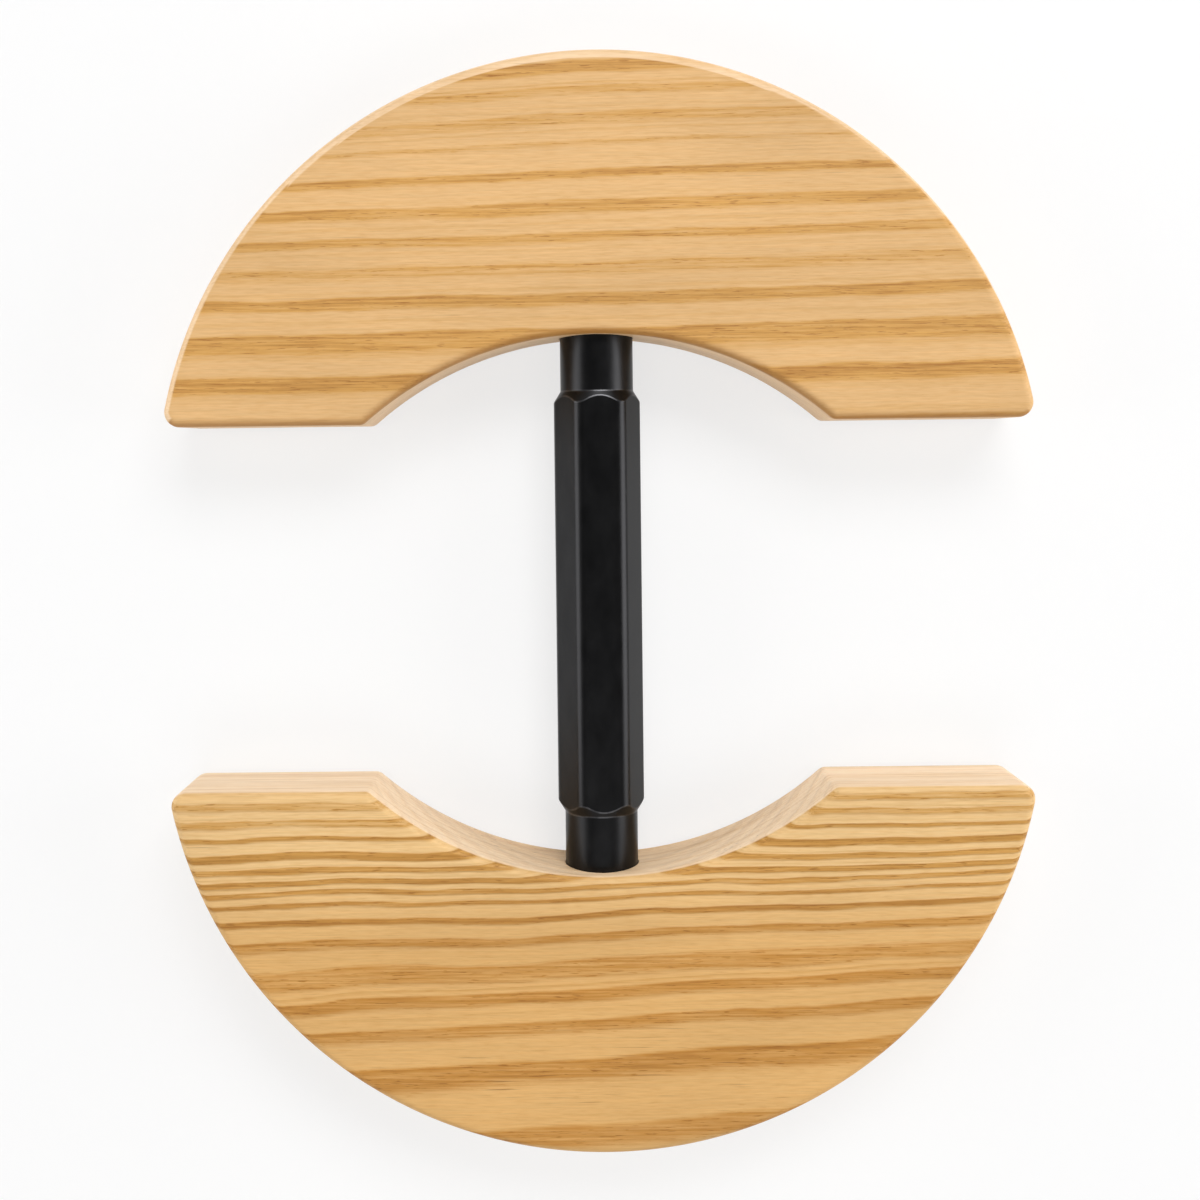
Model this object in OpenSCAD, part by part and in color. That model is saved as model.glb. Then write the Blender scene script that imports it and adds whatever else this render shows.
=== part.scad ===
// Screw hat stretcher: two half-moon pine blocks pushed apart by a hexagonal turnbuckle sleeve.
// It lies flat on the table. X runs across the hat, Y from the back of the hat to the front and
// Z up through the board. The origin is on the table, under the middle of the sleeve.

/* [Blocks] */
// Radius of the outer curve that presses the hat's band
outer_r = 72.5; // [64:0.5:90]
// Depth of a block from its feet to its crown
block_depth = 60.5; // [54:0.5:68]
// Thickness of the board
board_t = 18; // [16:0.5:30]
// Radius of the hand arch
arch_r = 58; // [45:0.5:80]
// Height of the hand arch above the feet
arch_h = 14.5; // [8:0.5:20]
// Round-over along the board's edges
edge_r = 1.5; // [0.5:0.1:4]
// Round on each foot's outer corner
foot_r = 2.5; // [1:0.1:5]

/* [Sleeve] */
// Length of the hexagon with its two shoulders
hex_len = 70.6; // [50:0.1:90]
// Length of the conical shoulder at each end of the hexagon
shoulder_len = 2.6; // [1:0.1:4]
// Depth that the round ends are turned below the flats
turn_depth = 0.5; // [0.2:0.05:1.5]
// Round along the hexagon's edges
hex_edge_r = 2.2; // [0.3:0.1:3]
// Length of each round end
spigot_len = 10.2; // [8:0.1:20]
// Wall of the round ends
spigot_wall = 1.05; // [0.7:0.05:2]
// Bevel at the mouth of the bore
mouth_bevel = 0.4; // [0.1:0.1:0.6]
// Turn of the hexagon when the stretcher is closed
hex_turn = 4; // [0:1:30]

/* [Screw] */
// Thread diameter of the rods
rod_d = 8; // [6:0.5:10]
// Thread pitch
pitch = 1.25; // [1:0.05:1.75]
// Space between the rods in the middle of the closed sleeve
rod_gap = 3; // [1:0.5:10]
// Length of rod that stands past the insert
rod_past = 5; // [2:0.5:8]
// Wall of the threaded bushes
bush_wall = 0.95; // [0.6:0.05:2]
// Length of a threaded bush
bush_len = 15; // [8:0.5:20]
// Depth of a bush below the sleeve's mouth
bush_inset = 0.5; // [0.4:0.1:3]

/* [Inserts] */
// Wall of the insert over its ridges
insert_wall = 2; // [1.2:0.1:3]
// Length of an insert
insert_len = 25; // [15:0.5:30]
// Depth of the ridges that grip the wood
ridge_depth = 0.7; // [0.3:0.1:1]
// Spacing of the ridges
ridge_step = 2.5; // [1.5:0.1:4]

/* [Fits] */
// Radial clearance of a running fit
run_clear = 0.05; // [0.02:0.01:0.1]
// Radial clearance of a piece that is screwed home
hold_clear = 0.03; // [0.02:0.01:0.1]
// Radial clearance of the sleeve's end in its seat
seat_clear = 0.4; // [0.3:0.05:0.8]
// Depth of the seat below the arch
seat_depth = 1.2; // [0.8:0.1:4]
// Space left under the sleeve's end when the stretcher is closed
seat_gap = 0.2; // [0.1:0.05:0.6]
// Extra depth of the drilled hole past the rod
drill_extra = 1.5; // [0.5:0.1:3]

/* [Hidden] */

$fn = 96;
// Flats on a quarter round, and how far a cutter stands past what it cuts.
arc_steps = 6;
past = 1;

// The screw from the inside out: rod, bush, round end of the sleeve, hexagon.
rod_r = rod_d / 2;
thread_depth = 0.6134 * pitch;
bush_r = rod_r + run_clear + bush_wall;
bore_r = bush_r + run_clear;
spigot_r = bore_r + spigot_wall;
flat_r = spigot_r + turn_depth;
insert_r = rod_r + hold_clear + insert_wall;
axis_z = board_t / 2;

// Places along the screw, from the middle of the sleeve. The closed sleeve stands in the seats,
// and that sets where the blocks are.
sleeve_end = hex_len / 2 + spigot_len;
bush_end = sleeve_end - bush_inset;
seat_floor = sleeve_end + seat_gap;
arch_top = seat_floor - seat_depth;
foot_y = arch_top - arch_h;
insert_end = seat_floor + insert_len;
rod_start = rod_gap / 2;
rod_end = insert_end + rod_past;

// Centre of the outer curve, measured from the feet.
curve_y = block_depth - outer_r;
// Centre of the round on a foot's outer corner, and the point where it runs into the outer curve.
foot_round = [sqrt(pow(outer_r - foot_r, 2) - pow(foot_r - curve_y, 2)), foot_r];
foot_tangent = [0, curve_y] + (foot_round - [0, curve_y]) * outer_r / (outer_r - foot_r);

// Points of a round of radius r about a centre, from one angle to another.
function round_points(centre, r, from, to) =
    [for (i = [0 : arc_steps])
        let (angle = from + (to - from) * i / arc_steps)
        centre + r * [cos(angle), sin(angle)]];

// Turns a shape that stands on Z so that it points along +Y at the height of the screw.
module on_screw() {
    translate([0, 0, axis_z]) rotate([-90, 0, 0]) children();
}

// Turns a piece of the front half round to the rear.
module to_rear() {
    rotate([0, 0, 180]) children();
}

// Round board of the outer curve, with both rims rounded over.
module rounded_disc() {
    rim = outer_r - edge_r;
    rotate_extrude()
        polygon(concat(
            [[0, 0]],
            round_points([rim, edge_r], edge_r, -90, 0),
            round_points([rim, board_t - edge_r], edge_r, 0, 90),
            [[0, board_t]]));
}

// Cutter for the hand arch. It flares at both faces, which rounds the arch's edges over.
module arch_cutter() {
    flare = arch_r + edge_r;
    rotate_extrude()
        polygon(concat(
            [[0, -past], [flare, -past]],
            round_points([flare, edge_r], edge_r, -90, -180),
            round_points([flare, board_t - edge_r], edge_r, 180, 90),
            [[flare, board_t + past], [0, board_t + past]]));
}

// Cutter that rounds over the long lower edge of the feet.
module foot_edge_cutter() {
    rotate([90, 0, 90])
        linear_extrude(2 * outer_r, center = true)
            polygon(concat(
                [[-past, -past], [edge_r, -past]],
                round_points([edge_r, edge_r], edge_r, -90, -180),
                [[-past, edge_r]]));
}

// Cutter that rounds the outer corner of the foot on the +X side.
module foot_corner_cutter() {
    reach = outer_r + past;
    translate([0, 0, -past])
        linear_extrude(board_t + 2 * past)
            difference() {
                polygon([foot_round, [foot_round.x, -past], [reach, -past],
                         [reach, foot_tangent.y], foot_tangent]);
                translate(foot_round) circle(foot_r);
            }
}

// Stepped hole for the sleeve's end, the insert and the rod.
module screw_hole() {
    on_screw() {
        cylinder(r = spigot_r + seat_clear, h = seat_floor);
        cylinder(r = insert_r + hold_clear, h = insert_end + hold_clear);
        cylinder(r = rod_r + hold_clear, h = rod_end + drill_extra);
    }
}

// Half-moon pine block, sawn from a board, with its edges rounded over.
module front_block() {
    color([0.89, 0.72, 0.49])
        difference() {
            translate([0, foot_y, 0])
                difference() {
                    translate([0, curve_y, 0]) rounded_disc();
                    translate([-outer_r - past, -2 * outer_r, -past])
                        cube([2 * (outer_r + past), 2 * outer_r, board_t + 2 * past]);
                    translate([0, arch_h - arch_r, 0]) arch_cutter();
                    foot_edge_cutter();
                    translate([0, 0, board_t]) mirror([0, 0, 1]) foot_edge_cutter();
                    foot_corner_cutter();
                    mirror([1, 0, 0]) foot_corner_cutter();
                }
            screw_hole();
        }
}

// Ridged brass insert that holds the rod in the soft wood.
module front_insert() {
    root_r = insert_r - ridge_depth;
    ridges = floor(insert_len / ridge_step);
    color([0.78, 0.62, 0.32])
        on_screw()
            translate([0, 0, seat_floor])
                difference() {
                    rotate_extrude()
                        polygon(concat(
                            [[0, 0]],
                            [for (i = [0 : ridges - 1]) each
                                [[insert_r, i * ridge_step], [root_r, (i + 1) * ridge_step]]],
                            [[root_r, insert_len], [0, insert_len]]));
                    translate([0, 0, -past])
                        cylinder(r = rod_r + hold_clear, h = insert_len + 2 * past);
                }
}

// Threaded steel rod, fixed in the front block. The thread is drawn as rings of its true section.
module front_rod() {
    root_r = rod_r - thread_depth;
    turns = floor((rod_end - rod_start) / pitch);
    color([0.72, 0.73, 0.75])
        on_screw()
            translate([0, 0, rod_start])
                rotate_extrude()
                    polygon(concat(
                        [[0, 0]],
                        [for (i = [0 : turns - 1]) each
                            [[root_r, i * pitch], [root_r, (i + 1 / 4) * pitch],
                             [rod_r, (i + 9 / 16) * pitch], [rod_r, (i + 11 / 16) * pitch]]],
                        [[root_r, turns * pitch], [root_r, rod_end - rod_start],
                         [0, rod_end - rod_start]]));
}

// Threaded bush in the front end of the sleeve. Its bore is plain, at the thread's outer size.
module front_bush() {
    color([0.62, 0.6, 0.56])
        on_screw()
            translate([0, 0, bush_end - bush_len])
                difference() {
                    cylinder(r = bush_r, h = bush_len);
                    translate([0, 0, -past])
                        cylinder(r = rod_r + run_clear, h = bush_len + 2 * past);
                }
}

// Hexagonal bar with rounded edges, over the whole length of the sleeve.
module hex_bar() {
    corner = (flat_r - hex_edge_r) / cos(30);
    linear_extrude(2 * sleeve_end, center = true)
        polygon([for (turn = [0 : 60 : 300]) each
            round_points(corner * [cos(turn), sin(turn)], hex_edge_r, turn - 30, turn + 30)]);
}

// Shape that the bar is turned to: a round end, a shoulder and the full hexagon, both ways.
module turned_shape() {
    full_r = flat_r / cos(30);
    half_hex = hex_len / 2;
    rotate_extrude()
        polygon([[0, -sleeve_end], [spigot_r, -sleeve_end], [spigot_r, -half_hex],
                 [full_r, -half_hex + shoulder_len], [full_r, half_hex - shoulder_len],
                 [spigot_r, half_hex], [spigot_r, sleeve_end], [0, sleeve_end]]);
}

// Black hexagonal turnbuckle sleeve, bored right through, with bevelled mouths.
module hex_sleeve() {
    color([0.09, 0.09, 0.1])
        on_screw()
            difference() {
                intersection() {
                    rotate([0, 0, hex_turn]) hex_bar();
                    turned_shape();
                }
                cylinder(r = bore_r, h = 2 * (sleeve_end + past), center = true);
                for (side = [0, 1]) mirror([0, 0, side])
                    translate([0, 0, sleeve_end - mouth_bevel])
                        cylinder(r1 = bore_r, r2 = bore_r + mouth_bevel + past, h = mouth_bevel + past);
            }
}

front_block();
front_insert();
front_rod();
to_rear() front_block();  // rear_block
to_rear() front_insert();  // rear_insert
to_rear() front_rod();  // rear_rod
front_bush();
to_rear() front_bush();  // rear_bush
hex_sleeve();
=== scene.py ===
import math

import bmesh
import bpy
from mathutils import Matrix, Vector


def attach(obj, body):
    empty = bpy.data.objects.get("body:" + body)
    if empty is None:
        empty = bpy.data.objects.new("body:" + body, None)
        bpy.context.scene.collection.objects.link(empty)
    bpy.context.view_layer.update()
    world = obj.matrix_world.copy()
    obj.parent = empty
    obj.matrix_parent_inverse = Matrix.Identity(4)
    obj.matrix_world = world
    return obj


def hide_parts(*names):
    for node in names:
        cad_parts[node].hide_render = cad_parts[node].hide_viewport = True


# Screw hat stretcher: two half-moon pine blocks that a black hexagonal turnbuckle sleeve pushes
# apart. It lies flat on a white table, with the front block at +Y.
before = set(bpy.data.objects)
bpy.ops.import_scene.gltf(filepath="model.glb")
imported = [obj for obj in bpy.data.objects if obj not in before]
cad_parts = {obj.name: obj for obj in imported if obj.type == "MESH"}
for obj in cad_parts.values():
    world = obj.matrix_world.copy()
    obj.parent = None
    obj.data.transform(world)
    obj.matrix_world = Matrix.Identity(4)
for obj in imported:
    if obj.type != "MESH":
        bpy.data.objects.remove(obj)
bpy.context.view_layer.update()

# Front block: a half-moon of pine, sawn from an 18 mm board, with a hand arch between two feet.
# Every edge is rounded over on a router table, and a stepped hole is drilled in from the arch for
# the screw. It presses the front of the hat's band.
mm = 0.001
hair = 0.01 * mm
board_t = 18 * mm
axis_z = board_t / 2
outer_r = 72.5 * mm
outer_y = 18 * mm
foot_y = 30 * mm
foot_r = 2.5 * mm
foot_rise = foot_y + foot_r - outer_y
foot_x = math.sqrt((outer_r - foot_r) ** 2 - foot_rise ** 2)
foot_turn = math.degrees(math.atan2(foot_rise, foot_x))
arch_r = 58 * mm
arch_y = -13.5 * mm
arch_rise = foot_y - arch_y
arch_x = math.sqrt(arch_r ** 2 - arch_rise ** 2)
arch_turn = math.degrees(math.atan2(arch_rise, arch_x))
arch_corner = 0.6 * mm
round_over = 1.5 * mm
face_margin = 0.15 * mm


def start_point(name, place, origin=(0, 0, 0)):
    """A new piece in edit mode that is one point so far, ready to be spun and extruded."""
    bpy.ops.object.select_all(action="DESELECT")
    bpy.ops.mesh.primitive_plane_add(size=mm, location=origin)
    piece = bpy.context.object
    piece.name = name
    piece.data.name = name
    bpy.ops.object.mode_set(mode="EDIT")
    bpy.ops.mesh.select_mode(type="VERT")
    bpy.ops.mesh.select_all(action="SELECT")
    bpy.ops.mesh.merge(type="CENTER")
    bpy.ops.transform.translate(value=place)
    return piece


def draw_arc(centre, degrees, steps):
    """Spins the last point about a centre on the board, anticlockwise seen from above."""
    bpy.ops.mesh.spin(
        steps=steps, angle=math.radians(degrees), center=(centre[0], centre[1], 0), axis=(0, 0, -1)
    )


def draw_line(step):
    """Extrudes what is selected by a step."""
    bpy.ops.mesh.extrude_region_move(TRANSFORM_OT_translate={"value": step})


def pick(kind, wanted):
    """Selects the edges or faces in edit mode whose middle passes the test."""
    bpy.ops.mesh.select_mode(type=kind)
    bpy.ops.mesh.select_all(action="DESELECT")
    mesh = bmesh.from_edit_mesh(bpy.context.edit_object.data)
    for part in mesh.edges if kind == "EDGE" else mesh.faces:
        middle = sum((corner.co for corner in part.verts), Vector()) / len(part.verts)
        if wanted(middle):
            part.select_set(True)
    bmesh.update_edit_mesh(bpy.context.edit_object.data)


def merge_points(gap):
    """Joins the points in edit mode that are closer together than the gap."""
    bpy.ops.mesh.select_all(action="SELECT")
    bpy.ops.mesh.remove_doubles(threshold=gap)


def face_outwards():
    """Turns every face in edit mode to the outside."""
    bpy.ops.mesh.select_all(action="SELECT")
    bpy.ops.mesh.normals_make_consistent(inside=False)


# The outline starts under the right foot and runs anticlockwise round the crown and the arch.
front_block = start_point("front_block_pine", (foot_x, foot_y, 0))
draw_arc((foot_x, foot_y + foot_r), 90 + foot_turn, steps=10)
draw_arc((0, outer_y), 180 - 2 * foot_turn, steps=150)
draw_arc((-foot_x, foot_y + foot_r), 90 + foot_turn, steps=10)
draw_line((foot_x - arch_x, 0, 0))
draw_arc((0, arch_y), 2 * arch_turn - 180, steps=72)
draw_line((foot_x - arch_x, 0, 0))
merge_points(hair)
bpy.ops.mesh.edge_face_add()
draw_line((0, 0, board_t))
face_outwards()
pick("EDGE", lambda middle: abs(abs(middle.x) - arch_x) < hair and abs(middle.y - foot_y) < hair)
bpy.ops.mesh.bevel(offset=arch_corner, segments=3, affect="EDGES")
for face_z in (0, board_t):
    pick("EDGE", lambda middle: abs(middle.z - face_z) < hair)
    bpy.ops.mesh.bevel(offset=round_over, segments=8, affect="EDGES")
pick("FACE", lambda middle: min(abs(middle.z), abs(middle.z - board_t)) < hair)
bpy.ops.mesh.inset(thickness=face_margin, use_individual=True)
bpy.ops.object.mode_set(mode="OBJECT")

seat_r = 6.25 * mm
seat_floor = 45.7 * mm
insert_hole_r = 6.06 * mm
insert_hole_end = 70.73 * mm
rod_hole_r = 4.03 * mm
rod_hole_end = 77.2 * mm
drill_start = 20 * mm


def bar_along_screw(sides, radius, start, end, height, turn=0):
    """A bar in edit mode that lies along Y from start to end, turned about its own length."""
    bpy.ops.object.select_all(action="DESELECT")
    bpy.ops.mesh.primitive_cylinder_add(
        vertices=sides,
        radius=radius,
        depth=end - start,
        location=(0, (start + end) / 2, height),
        rotation=(math.radians(-90), math.radians(turn), 0),
    )
    bpy.ops.object.transform_apply()
    bpy.ops.object.mode_set(mode="EDIT")
    return bpy.context.object


def hold(piece):
    """Makes a piece the only one that the next tool works on."""
    bpy.ops.object.select_all(action="DESELECT")
    bpy.context.view_layer.objects.active = piece
    piece.select_set(True)


def cut(piece, tool, how="DIFFERENCE"):
    """Cuts a piece with the shape of the tool that is in edit mode, and clears the tool away."""
    face_outwards()
    bpy.ops.object.mode_set(mode="OBJECT")
    hold(piece)
    saw = piece.modifiers.new("cut", "BOOLEAN")
    saw.operation = how
    saw.solver = "EXACT"
    saw.object = tool
    bpy.ops.object.modifier_apply(modifier=saw.name)
    bpy.data.objects.remove(tool)


drill = bar_along_screw(64, seat_r, drill_start, seat_floor, axis_z)
pick("FACE", lambda middle: abs(middle.y - seat_floor) < hair)
bpy.ops.mesh.inset(thickness=seat_r - insert_hole_r)
draw_line((0, insert_hole_end - seat_floor, 0))
bpy.ops.mesh.inset(thickness=insert_hole_r - rod_hole_r)
draw_line((0, rod_hole_end - insert_hole_end, 0))
cut(front_block, drill)
bpy.ops.object.shade_smooth_by_angle(angle=math.radians(35))


def mark_edges(block, left_rim, right_rim, lit_crown, arch, arch_shade):
    """Marks the points of a block that show pale sawn wood: its walls, and the round-overs up to a share of
    their height, at the rim near the left and right feet, at the rim's crown and along the arch. The walls
    are pale cut wood. On the round-overs the pale wood is also a painted highlight, which reaches furthest
    where an edge faces the lamps, most at the crown. Arch shade is how dark the arch side's round-over is
    painted, a painted shade where it turns from the light."""
    marks = block.data.attributes
    for name in ("sawn", "painted_arch_shade"):
        if name not in marks:
            marks.new(name, "FLOAT", "POINT")
    sawn = marks["sawn"].data
    painted_arch_shade = marks["painted_arch_shade"].data
    for point in block.data.vertices:
        x, y, z = point.co.x, abs(point.co.y), point.co.z
        from_rim = outer_r - math.hypot(x, y - outer_y)
        from_arch = min(math.hypot(x, y - arch_y) - arch_r, y - foot_y)
        rise = (abs(z - axis_z) - axis_z + round_over) / round_over
        # Painted highlight: the pale share of a round-over is set by which way it faces the lamps, and is
        # widest at the crown.
        pale_and_lit_share = arch
        if from_rim < from_arch:
            pale_and_lit_share = left_rim + (right_rim - left_rim) * (0.5 + 0.5 * x / outer_r)
            pale_and_lit_share += (lit_crown - pale_and_lit_share) * ((y - outer_y) / outer_r) ** 2
        # Painted shade on the arch side's round-overs. It is darkest halfway down, where they turn from the
        # lamps.
        elif rise > 0:
            painted_arch_shade[point.index].value = arch_shade * 4 * rise * (1 - rise)
        on_face = rise > 0.99 and min(from_rim, from_arch) > round_over + 10 * hair
        sawn[point.index].value = 1.0 if rise <= pale_and_lit_share and not on_face else 0.0


# The front block's crown faces the top lamp and gets the most painted highlight, and its arch side gets
# painted shade.
mark_edges(front_block, left_rim=0.95, right_rim=0.4, lit_crown=1.1, arch=0.1, arch_shade=1.0)


def screen(red, green, blue):
    """A colour as it looks on a screen, 0 to 255, as the light values that a shader takes."""
    light = []
    for level in (red / 255, green / 255, blue / 255):
        light.append(level / 12.92 if level < 0.04 else ((level + 0.055) / 1.055) ** 2.4)
    return (*light, 1)


def new_finish(name):
    """A new material, with its node tree and its shader."""
    finish = bpy.data.materials.new(name)
    finish.use_nodes = True
    return finish, finish.node_tree, finish.node_tree.nodes["Principled BSDF"]


def plug(tree, target, sockets):
    """Gives each socket of a shader node a plain value, or a link from another node's output."""
    for socket, value in sockets.items():
        if isinstance(value, bpy.types.NodeSocket):
            tree.links.new(value, target.inputs[socket])
        else:
            target.inputs[socket].default_value = value


def node(tree, kind, sockets=None, **settings):
    """Adds a shader node. Its settings come first, because they can change its sockets."""
    made = tree.nodes.new(kind)
    for setting, value in settings.items():
        setattr(made, setting, value)
    plug(tree, made, sockets or {})
    return made


def calc(tree, operation, first, second=0.0, third=0.0):
    """A sum in the shader."""
    return node(tree, "ShaderNodeMath", {0: first, 1: second, 2: third}, operation=operation).outputs[0]


def add_up(tree, total, *shares):
    """Adds shares to a total in the shader. Each is a value and how much of it is added."""
    for value, amount in shares:
        total = calc(tree, "MULTIPLY_ADD", value, amount, total)
    return total


def mapped(tree, value, start, end, first=0.0, last=1.0, eased=False):
    """Stretches a value's range, from start to end, to run from first to last, and holds it there."""
    return node(
        tree,
        "ShaderNodeMapRange",
        {0: value, 1: start, 2: end, 3: first, 4: last},
        interpolation_type="SMOOTHSTEP" if eased else "LINEAR",
    ).outputs[0]


def in_millimetres(tree):
    """The place on the piece, in millimetres of the shared frame."""
    place = node(tree, "ShaderNodeTexCoord").outputs["Object"]
    return node(tree, "ShaderNodeVectorMath", {0: place, 3: 1 / mm}, operation="SCALE").outputs[0]


# Noise seldom leaves this range.
noise_low = 0.3
noise_high = 0.7


def stretched_noise(tree, position, lengths, offset, detail=2.0, roughness=0.5):
    """Noise whose blots are about as long, in millimetres, as the three lengths along X, Y and Z.
    Each pattern on a piece has its own offset, so that no two run together."""
    squeezed = node(
        tree,
        "ShaderNodeVectorMath",
        {0: position, 1: [1 / length for length in lengths], 2: (offset, offset, offset)},
        operation="MULTIPLY_ADD",
    )
    noise = node(
        tree,
        "ShaderNodeTexNoise",
        {"Vector": squeezed.outputs[0], "Scale": 1.0, "Detail": detail, "Roughness": roughness},
    )
    return noise.outputs["Fac"]


def ramp(tree, factor, first, last, *between):
    """Colours along a factor. Each stop is a place from 0 to 1 and the colour there."""
    made = node(tree, "ShaderNodeValToRGB", {"Fac": factor})
    stops = made.color_ramp.elements
    for stop, (place, colour) in zip(stops, (first, last)):
        stop.position = place
        stop.color = colour
    for place, colour in between:
        stops.new(place).color = colour
    return made.outputs[0]


def blend(tree, factor, first, second, how="MIX"):
    """Lays one colour over another."""
    sockets = {0: factor, 6: first, 7: second}
    return node(tree, "ShaderNodeMix", sockets, data_type="RGBA", blend_type=how).outputs[2]


def bump(tree, height, strength, distance):
    """Lets a pattern of heights stand out of the surface."""
    sockets = {"Height": height, "Strength": strength, "Distance": distance}
    return node(tree, "ShaderNodeBump", sockets).outputs[0]


def count_rings(tree, position, base_y, pith, lean, growth, waver, seed):
    """How many rings have grown at each place, by its distance from the pith and with the wander of
    a real trunk, and how near the place is to base_y: 1 there and 0 at the last ring."""
    across = node(tree, "ShaderNodeSeparateXYZ", {0: position}).outputs[0]
    section = node(
        tree,
        "ShaderNodeVectorMath",
        {0: position, 1: (0, 1, 1), 2: (0, -pith[0], -pith[1])},
        operation="MULTIPLY_ADD",
    )
    distance = node(tree, "ShaderNodeVectorMath", {0: section.outputs[0]}, operation="LENGTH")
    upper_face = board_t / mm - pith[1]
    start = math.hypot(base_y - pith[0], upper_face)
    growth = [(math.hypot(base_y + at - pith[0], upper_face) - start, count) for at, count in growth]
    reach, rings = growth[-1]
    depth = calc(tree, "SUBTRACT", distance.outputs["Value"], start)
    nearness = calc(tree, "SUBTRACT", 1.0, calc(tree, "DIVIDE", depth, reach))

    everywhere, near_base, on_the_right = lean
    fanning = add_up(tree, 0.0, (across, near_base), (calc(tree, "MAXIMUM", across, 0.0), on_the_right))
    climb = add_up(tree, 0.0, (across, everywhere), (fanning, nearness))
    depth = calc(tree, "SUBTRACT", depth, climb)
    bends = (((55, 30, 30), 0), ((16, 5, 5), 7), ((5, 0.7, 0.7), 3))
    for amount, (lengths, offset) in zip(waver, bends):
        wander = stretched_noise(tree, position, lengths, seed + offset)
        depth = add_up(tree, depth, (calc(tree, "SUBTRACT", wander, 0.5), amount))

    curve = node(tree, "ShaderNodeFloatCurve", {"Value": calc(tree, "DIVIDE", depth, reach)})
    line = curve.mapping.curves[0]
    line.points[0].location = (0, growth[0][1] / rings)
    line.points[1].location = (1, 1)
    for at, count in growth[1:-1]:
        line.points.new(at / reach, count / rings)
    curve.mapping.update()
    return calc(tree, "MULTIPLY", curve.outputs[0], rings), nearness


def draw_lots(tree, number):
    """A chance value from 0 to 1 for each number."""
    return node(tree, "ShaderNodeTexWhiteNoise", {"W": number}, noise_dimensions="1D").outputs["Value"]


def late_wood(tree, position, grown, late_share, ripening, seed):
    """The late wood of every ring: where it has grown, how dark it is, and its short dark dashes. It
    comes on in summer, stops at once in winter, and is stronger in some years than in others."""
    year = calc(tree, "ADD", calc(tree, "FLOOR", grown), seed)
    season = calc(tree, "FRACT", grown)
    luck = draw_lots(tree, year)
    rain = draw_lots(tree, calc(tree, "ADD", year, 0.5))
    onset = add_up(tree, 1 - 0.6 * late_share, (luck, -0.8 * late_share))
    summer = mapped(tree, season, onset, calc(tree, "ADD", onset, ripening), eased=True)
    winter = mapped(tree, season, 1.0, 0.88, eased=True)
    summer = calc(tree, "MULTIPLY", summer, winter)
    autumn = mapped(tree, season, 0.82, 0.95)

    streaks = stretched_noise(tree, position, (20, 0.5, 0.5), seed + 37, 3.0, 0.65)
    streaks = calc(tree, "SUBTRACT", streaks, 0.5)
    dash = stretched_noise(tree, position, (3, 0.22, 0.22), seed + 29, roughness=0.6)
    dash = mapped(tree, dash, 0.6, 0.7)
    ink = stretched_noise(tree, position, (45, 6, 6), seed + 61)
    ink = mapped(tree, ink, 0.4, 0.62, 0.04, 0.32)
    strength = add_up(tree, 0.26, (rain, 0.46), (autumn, ink), (streaks, 1.1), (dash, 0.4))
    darkness = calc(tree, "MULTIPLY", summer, strength)

    # A dry spell leaves a fainter line between two rings.
    drought = calc(tree, "FRACT", add_up(tree, 0.4, (grown, 2.31)))
    drought = mapped(tree, drought, 0.62, 0.95, eased=True)
    drought = calc(tree, "MULTIPLY", drought, add_up(tree, -0.06, (luck, 0.34)))
    darkness = calc(tree, "MAXIMUM", darkness, drought)
    return summer, add_up(tree, darkness, (streaks, 0.3), (dash, 0.12)), dash


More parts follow.
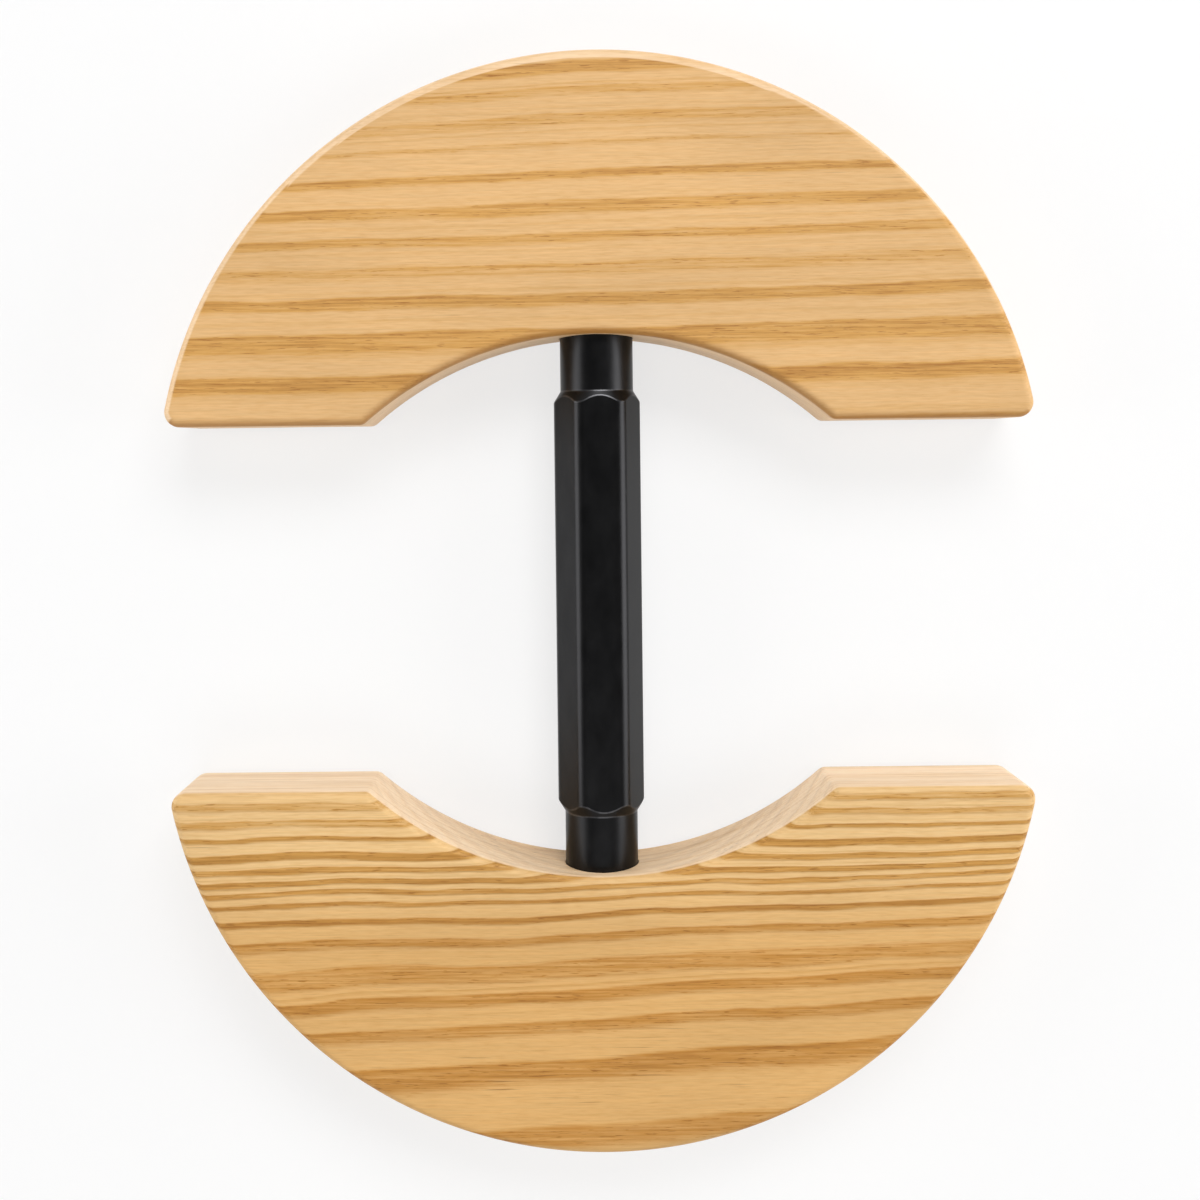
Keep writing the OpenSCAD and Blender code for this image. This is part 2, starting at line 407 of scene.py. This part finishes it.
def pine(name, base_y, pith, lean, growth, waver, late_share, ripening, early, late, streak, pale,
         dusk, resin, relief, seed):
    """Pine with the rings of one board, in millimetres. Growth is how many rings have grown at which
    depth from base_y, seen on the upper face; pith is where the tree's middle lies in the board's
    section; lean is how the rings climb to the right: everywhere, near base_y, and there on the
    right; waver is how far they wander, in long bends, short bends and ripples; late_share is how
    much of a ring is late wood, and ripening how slowly it comes on; dusk is how much the wood
    darkens towards base_y; relief is how far the late wood stands out."""
    finish, tree, shader = new_finish(name)
    position = in_millimetres(tree)
    grown, nearness = count_rings(tree, position, base_y, pith, lean, growth, waver, seed)
    summer, darkness, dash = late_wood(tree, position, grown, late_share, ripening, seed)
    fibre = stretched_noise(tree, position, (12, 0.28, 0.28), seed + 13, 3.0, 0.6)
    cloud = stretched_noise(tree, position, (50, 15, 15), seed + 19)
    planed = ramp(tree, darkness, (0, early), (1, streak), (0.55, late))

    # The sawn walls are pale, with fine lines along them. The same pale colour is the painted highlight on
    # round-overs that face the lamps.
    lines = stretched_noise(tree, position, (40, 40, 0.9), seed + 43, roughness=0.6)
    lines = add_up(tree, mapped(tree, lines, 0.45, 0.75, 0.0, 0.4), (darkness, 0.22))
    sawn = blend(tree, lines, pale, late)
    sawn_mark = node(tree, "ShaderNodeAttribute", attribute_name="sawn").outputs["Fac"]
    colour = blend(tree, sawn_mark, planed, sawn)
    # Painted shade: the arch side's round-over is darkened towards the streak colour, unevenly through the
    # clouds.
    arch_shade_mark = node(tree, "ShaderNodeAttribute", attribute_name="painted_arch_shade").outputs["Fac"]
    arch_shade_mark = calc(tree, "MULTIPLY", arch_shade_mark, add_up(tree, 0.4, (cloud, 0.6)))
    colour = blend(tree, arch_shade_mark, colour, streak)

    # The whole block is uneven: pale and dark fibres, clouds, warm specks and a browner side.
    speck_tint = (0.95, 0.91, 0.85, 1)
    dusk_tint = (0.9, 0.8, 0.635, 1)
    shade = mapped(tree, fibre, noise_low, noise_high, 0.965, 1.07)
    tone = mapped(tree, cloud, noise_low, noise_high, 0.93, 1.05)
    shade = calc(tree, "MULTIPLY", shade, tone)
    colour = node(tree, "ShaderNodeVectorMath", {0: colour, 3: shade}, operation="SCALE").outputs[0]
    speck = stretched_noise(tree, position, (3, 0.3, 0.3), seed + 53, detail=1.0)
    colour = blend(tree, mapped(tree, speck, 0.4, 0.68), colour, speck_tint, "MULTIPLY")
    evening = mapped(tree, nearness, 0.2, 0.5, 0.0, dusk, eased=True)
    colour = blend(tree, evening, colour, dusk_tint, "MULTIPLY")

    # Resin: a few thin dark lines along the grain, in some places only.
    pocket = stretched_noise(tree, position, (60, 14, 14), seed + 71, detail=1.0)
    pocket = mapped(tree, pocket, 0.52, 0.62)
    drip = stretched_noise(tree, position, (14, 0.45, 0.45), seed + 73)
    drip = mapped(tree, drip, 0.64, 0.76, 0.0, resin)
    colour = blend(tree, calc(tree, "MULTIPLY", drip, pocket), colour, screen(120, 76, 30))

    height = add_up(tree, 0.0, (summer, relief), (fibre, 0.25), (dash, -0.3))
    plug(tree, shader, {
        "Base Color": colour,
        "Roughness": add_up(tree, 0.45, (darkness, -0.08), (fibre, 0.2)),
        "Specular IOR Level": 0.35,
        "Normal": bump(tree, height, 0.6, 0.1 * mm),
    })
    return finish


front_block.data.materials.append(
    pine(
        "front_pine",
        base_y=30,
        pith=(-95, -45),
        lean=(0.04, -0.035, 0),
        growth=((0, 0.95), (15.6, 3), (31.2, 6), (45.8, 9), (58.6, 12), (64, 13.2)),
        waver=(2.2, 0.9, 0.4),
        late_share=0.48,
        ripening=0.2,
        early=screen(226, 183, 127),
        late=screen(211, 160, 88),
        streak=screen(174, 120, 58),
        pale=screen(244, 211, 170),
        dusk=0.0,
        resin=0.25,
        relief=0.5,
        seed=4.0,
    )
)
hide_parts("front_block")
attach(front_block, "front_half")

# Rear block: the same half-moon of pine, sawn from another length of board and turned round to
# press the back of the hat's band. Its rings are close together near the feet, and wide and wavy
# near the crown.
rear_block = bpy.data.objects.new("rear_block_pine", front_block.data.copy())
rear_block.data.name = "rear_block_pine"
bpy.context.scene.collection.objects.link(rear_block)
hold(rear_block)
rear_block.rotation_euler = (0, 0, math.radians(180))
bpy.ops.object.transform_apply()
# The rear block's arch side faces the top lamp, so it gets more painted highlight there and no painted
# shade.
mark_edges(rear_block, left_rim=0.1, right_rim=0.1, lit_crown=0.1, arch=0.5, arch_shade=0.0)
rear_block.data.materials[0] = pine(
    "rear_pine",
    base_y=-92,
    pith=(-220, -60),
    lean=(0, 0.06, 0.03),
    growth=((0, 0.3), (7, 1), (17.9, 2), (29.4, 4), (41.9, 7), (50.5, 11), (60.7, 15), (66, 17)),
    waver=(2.6, 1.1, 0.15),
    late_share=0.62,
    ripening=0.22,
    early=screen(236, 197, 139),
    late=screen(205, 153, 77),
    streak=screen(166, 114, 46),
    pale=screen(253, 226, 192),
    dusk=1.0,
    resin=0.8,
    relief=2.5,
    seed=21.0,
)
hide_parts("rear_block")
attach(rear_block, "rear_half")


# Inserts: ridged brass sockets, one in each block, turned into the drilled hole to hold the rod in
# the soft wood. Their turned shapes are right as they are, so they only get a finish.
def metal(name, blots, offset, dark, light, polished, dull):
    """A metal that varies a little in colour and polish, in blots of the given lengths."""
    finish, tree, shader = new_finish(name)
    uneven = stretched_noise(tree, in_millimetres(tree), blots, offset, 3.0, 0.6)
    plug(tree, shader, {
        "Base Color": ramp(tree, uneven, (noise_low, dark), (noise_high, light)),
        "Roughness": mapped(tree, uneven, noise_low, noise_high, polished, dull),
        "Metallic": 1.0,
    })
    return finish


def refinish(name, finish):
    """Gives a finish to a piece that keeps the shape it came with."""
    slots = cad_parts[name].data.materials
    slots.clear()
    slots.append(finish)


turned_brass = metal("turned_brass", (2, 2, 2), 8.0, screen(198, 158, 88), screen(222, 186, 112), 0.28, 0.4)
refinish("front_insert", turned_brass)
refinish("rear_insert", turned_brass)

# Rods: M8 threaded steel, one fixed in the insert of each block. The front one has a left-hand
# thread and the rear one a right-hand thread, so that one turn of the sleeve pushes both blocks
# out. Each thread is drawn longer than its rod and cut off square at both ends.
pitch = 1.25 * mm
crest_r = 4 * mm
thread_depth = 0.6134 * pitch
root_r = crest_r - thread_depth
root_flat = pitch / 4
crest_flat = pitch / 8
flank = (pitch - root_flat - crest_flat) / 2
rod_start = 1.5 * mm
rod_end = 75.7 * mm
front_thread_start = rod_start - 1.9 * pitch
rear_thread_start = -rod_end - 1.6 * pitch
turns = round((rod_end - rod_start) / pitch) + 3
bright_steel = metal(
    "bright_steel", (1.5, 3, 1.5), 2.0, screen(168, 170, 173), screen(202, 203, 205), 0.24, 0.36
)
for half, way, thread_start in (("front", 1, front_thread_start), ("rear", -1, rear_thread_start)):
    rod = start_point(half + "_rod_thread", (root_r, thread_start, 0), (0, 0, axis_z))
    draw_line((0, root_flat, 0))
    draw_line((thread_depth, flank, 0))
    draw_line((0, crest_flat, 0))
    draw_line((-thread_depth, flank, 0))
    bpy.ops.object.mode_set(mode="OBJECT")
    thread = rod.modifiers.new("thread", "SCREW")
    thread.axis = "Y"
    thread.angle = math.radians(-360 * way)
    thread.screw_offset = pitch
    thread.iterations = turns
    thread.steps = 32
    thread.render_steps = 32
    bpy.ops.object.modifier_apply(modifier=thread.name)
    bpy.ops.object.transform_apply()
    bpy.ops.object.mode_set(mode="EDIT")
    merge_points(hair / 2)
    for end, outward in ((rod_start, -way), (rod_end, way)):
        bpy.ops.mesh.select_all(action="SELECT")
        bpy.ops.mesh.bisect(
            plane_co=(0, way * end, 0),
            plane_no=(0, outward, 0),
            use_fill=True,
            clear_outer=True,
            threshold=1e-7,
        )
    face_outwards()
    bpy.ops.object.mode_set(mode="OBJECT")
    bpy.ops.object.shade_smooth_by_angle(angle=math.radians(25))
    rod.data.materials.append(bright_steel)
    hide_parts(half + "_rod")
    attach(rod, half + "_half")

# Sleeve: a black hexagonal bar, 13 mm across its flats, that is turned by hand. Its edges are
# rounded as drawn, its ends are turned down to round collars with conical shoulders, and it is
# bored right through for the two threaded bushes. The finish is a satin black oxide.
flat_r = 6.6 * mm
corner_r = flat_r / math.cos(math.radians(30))
edge_round = 2.2 * mm
hex_turn = 4
sleeve_end = 45.5 * mm
hex_half = 35.3 * mm
shoulder = 2.6 * mm
shoulder_y = hex_half - shoulder
clear_r = corner_r + 0.1 * mm
collar_r = 6.1 * mm
collar_bevel = 0.25 * mm
bore_r = 5.05 * mm
mouth = 0.4 * mm
mouth_y = sleeve_end - mouth
arris_width = 0.16 * mm
short_edge = 0.06 * mm


def draw_end(step, share):
    """Extrudes the picked end of a bar on the Y axis, and widens or narrows it to a share."""
    draw_line((0, step, 0))
    bpy.ops.transform.resize(value=(share, 1, share), center_override=(0, 0, 0))


# It is made lying on the Y axis, and lifted to the screw's height at the end.
sleeve = bar_along_screw(6, corner_r, -sleeve_end, sleeve_end, 0, 30 + hex_turn)
sleeve.name = "black_hex_sleeve"
sleeve.data.name = "black_hex_sleeve"
pick("EDGE", lambda middle: abs(middle.y) < hair)
bpy.ops.mesh.bevel(offset=edge_round * math.tan(math.radians(30)), segments=12, affect="EDGES")
bpy.ops.object.mode_set(mode="OBJECT")

turning = bar_along_screw(128, clear_r, -shoulder_y, shoulder_y, 0)
for side in (-1, 1):
    pick("FACE", lambda middle: abs(middle.y - side * shoulder_y) < hair)
    draw_end(side * shoulder, collar_r / clear_r)
    draw_line((0, side * (sleeve_end - hex_half - collar_bevel), 0))
    draw_end(side * collar_bevel, (collar_r - collar_bevel) / collar_r)
cut(sleeve, turning, "INTERSECT")

# The bore's flared mouth runs as far past the end as it goes in, so that it cuts clean.
bore = bar_along_screw(96, bore_r, -mouth_y, mouth_y, 0)
for side in (-1, 1):
    pick("FACE", lambda middle: abs(middle.y - side * mouth_y) < hair)
    draw_end(side * 2 * mouth, (bore_r + 2 * mouth) / bore_r)
cut(sleeve, bore)


def black_oxide(name, dark, light):
    """A satin black on drawn bar, a little uneven, from a dark to a lighter black."""
    finish = metal(name, (3, 6, 3), 11.0, dark, light, 0.3, 0.36)
    tree = finish.node_tree
    position = in_millimetres(tree)
    drawn = stretched_noise(tree, position, (0.25, 30, 0.25), 3.0, 3.0, 0.6)
    grit = stretched_noise(tree, position, (0.12, 0.12, 0.12), 5.0, roughness=0.6)
    plug(tree, tree.nodes["Principled BSDF"], {
        "Specular Tint": (0.83, 0.83, 0.83, 1),
        "Normal": bump(tree, add_up(tree, drawn, (grit, 0.2)), 0.25, 0.01 * mm),
    })
    return finish


# The turned edges get a narrow bevel whose black is lighter than the flats', a painted highlight for the
# glint along them. The short edges that the cuts left are closed up first, because the bevel would fold
# over them.
sleeve.data.materials.append(black_oxide("satin_black", screen(43, 43, 44), screen(48, 48, 49)))
sleeve.data.materials.append(black_oxide("painted_glint_black", screen(52, 52, 54), screen(92, 92, 94)))
bpy.ops.object.mode_set(mode="EDIT")
merge_points(short_edge)
bpy.ops.object.mode_set(mode="OBJECT")
arris = sleeve.modifiers.new("arris", "BEVEL")
arris.width = arris_width
arris.use_clamp_overlap = False
arris.segments = 2
arris.limit_method = "ANGLE"
arris.angle_limit = math.radians(20)
arris.material = 1
bpy.ops.object.modifier_apply(modifier=arris.name)
bpy.ops.object.mode_set(mode="EDIT")
bpy.ops.mesh.select_all(action="SELECT")
bpy.ops.mesh.dissolve_degenerate(threshold=hair / 10)
bpy.ops.object.mode_set(mode="OBJECT")
sleeve.location = (0, 0, axis_z)
bpy.ops.object.transform_apply()
bpy.ops.object.shade_smooth_by_angle(angle=math.radians(28))
soften = sleeve.modifiers.new("soften", "WEIGHTED_NORMAL")
soften.keep_sharp = True
bpy.ops.object.modifier_apply(modifier=soften.name)
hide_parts("hex_sleeve")
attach(sleeve, "sleeve")

# Bushes: the threaded steel nuts that are pressed into the sleeve's two ends and run on the rods.
# Like the inserts, they keep their shape and only get a finish, the steel of the rods.
refinish("front_bush", bright_steel)
refinish("rear_bush", bright_steel)

# Table: a plain white board that sweeps up into a backdrop all round. What the camera sees of it
# is whitened by a glow that lights nothing, and four large soft lamps light the stretcher.
table_r = 1.3
sweep_r = 0.5
sweep_steps = 10
backdrop = 0.6
glow_share = 0.7
bpy.ops.object.select_all(action="DESELECT")
bpy.ops.mesh.primitive_circle_add(vertices=96, radius=table_r, fill_type="NGON")
table = bpy.context.object
table.name = "table"
bpy.ops.object.mode_set(mode="EDIT")
pick("EDGE", lambda middle: True)
for step in range(sweep_steps):
    before = math.radians(90 * step / sweep_steps)
    after = math.radians(90 * (step + 1) / sweep_steps)
    draw_line((0, 0, sweep_r * (math.cos(before) - math.cos(after))))
    wider = (table_r + sweep_r * math.sin(after)) / (table_r + sweep_r * math.sin(before))
    bpy.ops.transform.resize(value=(wider, wider, 1), center_override=(0, 0, 0))
draw_line((0, 0, backdrop))
bpy.ops.object.mode_set(mode="OBJECT")
bpy.ops.object.shade_smooth_by_angle(angle=math.radians(30))
white, tree, shader = new_finish("white_table")
plug(tree, shader, {"Base Color": (0.93, 0.93, 0.93, 1), "Roughness": 0.9, "Specular IOR Level": 0.1})
ray = node(tree, "ShaderNodeLightPath").outputs
seen = calc(tree, "MAXIMUM", ray["Is Camera Ray"], ray["Is Glossy Ray"])
seen = calc(tree, "MAXIMUM", seen, ray["Is Transmission Ray"])
glow = node(tree, "ShaderNodeEmission", {"Color": (1, 1, 1, 1), "Strength": 1.0})
whiter = node(
    tree,
    "ShaderNodeMixShader",
    {0: calc(tree, "MULTIPLY", seen, glow_share), 1: shader.outputs[0], 2: glow.outputs[0]},
)
plug(tree, tree.nodes["Material Output"], {"Surface": whiter.outputs[0]})
table.data.materials.append(white)

world = bpy.data.worlds.new("studio")
bpy.context.scene.world = world
world.use_nodes = True
background = world.node_tree.nodes["Background"]
plug(world.node_tree, background, {"Color": (1, 1, 1, 1), "Strength": 0.16})

for name, place, size, power in (
    ("top_lamp", (0.2, 0.72, 0.82), (0.7, 0.45), 7.2),
    ("left_lamp", (-0.9, 0.0, 0.32), (0.5, 0.6), 3.0),
    ("right_lamp", (0.9, 0.0, 0.32), (0.5, 0.6), 3.9),
    ("low_lamp", (0.0, -0.6, 0.82), (0.9, 0.4), 2.5),
):
    bpy.ops.object.light_add(type="AREA", location=place)
    lamp = bpy.context.object
    lamp.name = name
    lamp.data.shape = "RECTANGLE"
    lamp.data.size = size[0]
    lamp.data.size_y = size[1]
    lamp.data.energy = power
    lamp.visible_camera = False
    lamp.rotation_euler = (-lamp.location).to_track_quat("-Z", "Y").to_euler()

# Camera: above the table and a little towards the front block, where the photographer stood. The
# frame is shifted to keep the stretcher in its middle.
bpy.ops.object.camera_add(
    location=(-4 * mm, 25.9 * mm, 278.3 * mm),
    rotation=(math.radians(-1.5), math.radians(0.6), math.radians(-0.7)),
)
camera = bpy.context.object
camera.data.lens = 48
camera.data.sensor_width = 36
camera.data.shift_x = 0.036
camera.data.shift_y = -0.092
camera.data.clip_start = 0.01
bpy.context.scene.camera = camera
bpy.context.scene.view_settings.view_transform = "Standard"
